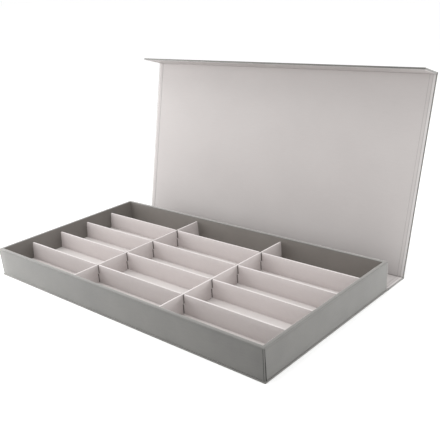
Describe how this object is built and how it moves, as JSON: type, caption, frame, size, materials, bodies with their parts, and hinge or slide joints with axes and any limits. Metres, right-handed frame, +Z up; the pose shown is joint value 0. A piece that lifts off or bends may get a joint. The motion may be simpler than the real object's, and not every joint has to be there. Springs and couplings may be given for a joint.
{
  "type": "sunglasses organizer box",
  "caption": "Book-style rigid box with a hinged lid and front flap, and a slotted divider insert that makes a compartment for each pair of sunglasses.",
  "frame": {"origin": "on the base panel's underside, below the middle of the tray", "axes": "+X along the box to its right end, -Y to its front, +Z up"},
  "size_m": [0.542, 0.4014, 0.2959],
  "materials": {
    "cover_paper": "matte",
    "lining_paper": "matte",
    "divider_board": "matte",
    "greyboard": "matte",
    "stay_tape": "matte",
    "steel": "satin"
  },
  "bodies": {
    "tray": {"base_board": "greyboard", "base_cover_paper": "cover_paper", "base_hinge_strip": "cover_paper", "tray_bottom_board": "greyboard", "front_wall_board": "greyboard", "back_wall_board": "greyboard", "left_wall_board": "greyboard", "right_wall_board": "greyboard", "corner_stays": "stay_tape", "tray_wrap_paper": "cover_paper", "floor_liner": "lining_paper", "long_divider_left": "divider_board", "long_divider_right": "divider_board", "cross_divider_1": "divider_board", "cross_divider_2": "divider_board", "cross_divider_3": "divider_board", "cross_divider_4": "divider_board", "keeper_plates": "steel"},
    "spine": {"spine_board": "greyboard", "spine_cover_paper": "cover_paper", "spine_lining": "lining_paper", "lid_hinge_strip": "cover_paper"},
    "lid": {"lid_board": "greyboard", "lid_cover_paper": "cover_paper", "lid_lining": "lining_paper", "flap_hinge_strip": "cover_paper"},
    "flap": {"flap_board": "greyboard", "flap_cover_paper": "cover_paper", "flap_lining": "lining_paper", "flap_magnets": "steel"}
  },
  "joints": [
    {"name": "spine_hinge", "type": "hinge", "parent": "tray", "child": "spine", "pos_m": [0, 0.14465, 0.00145], "axis": [1, 0, 0], "range_deg": [0, 90]},
    {"name": "lid_hinge", "type": "hinge", "parent": "spine", "child": "lid", "pos_m": [0, 0.19135, 0.00145], "axis": [1, 0, 0], "range_deg": [-77, 13]},
    {"name": "flap_hinge", "type": "hinge", "parent": "lid", "child": "flap", "pos_m": [0, 0.25643, 0.28334], "axis": [1, 0, 0], "range_deg": [-87, 3]}
  ]
}
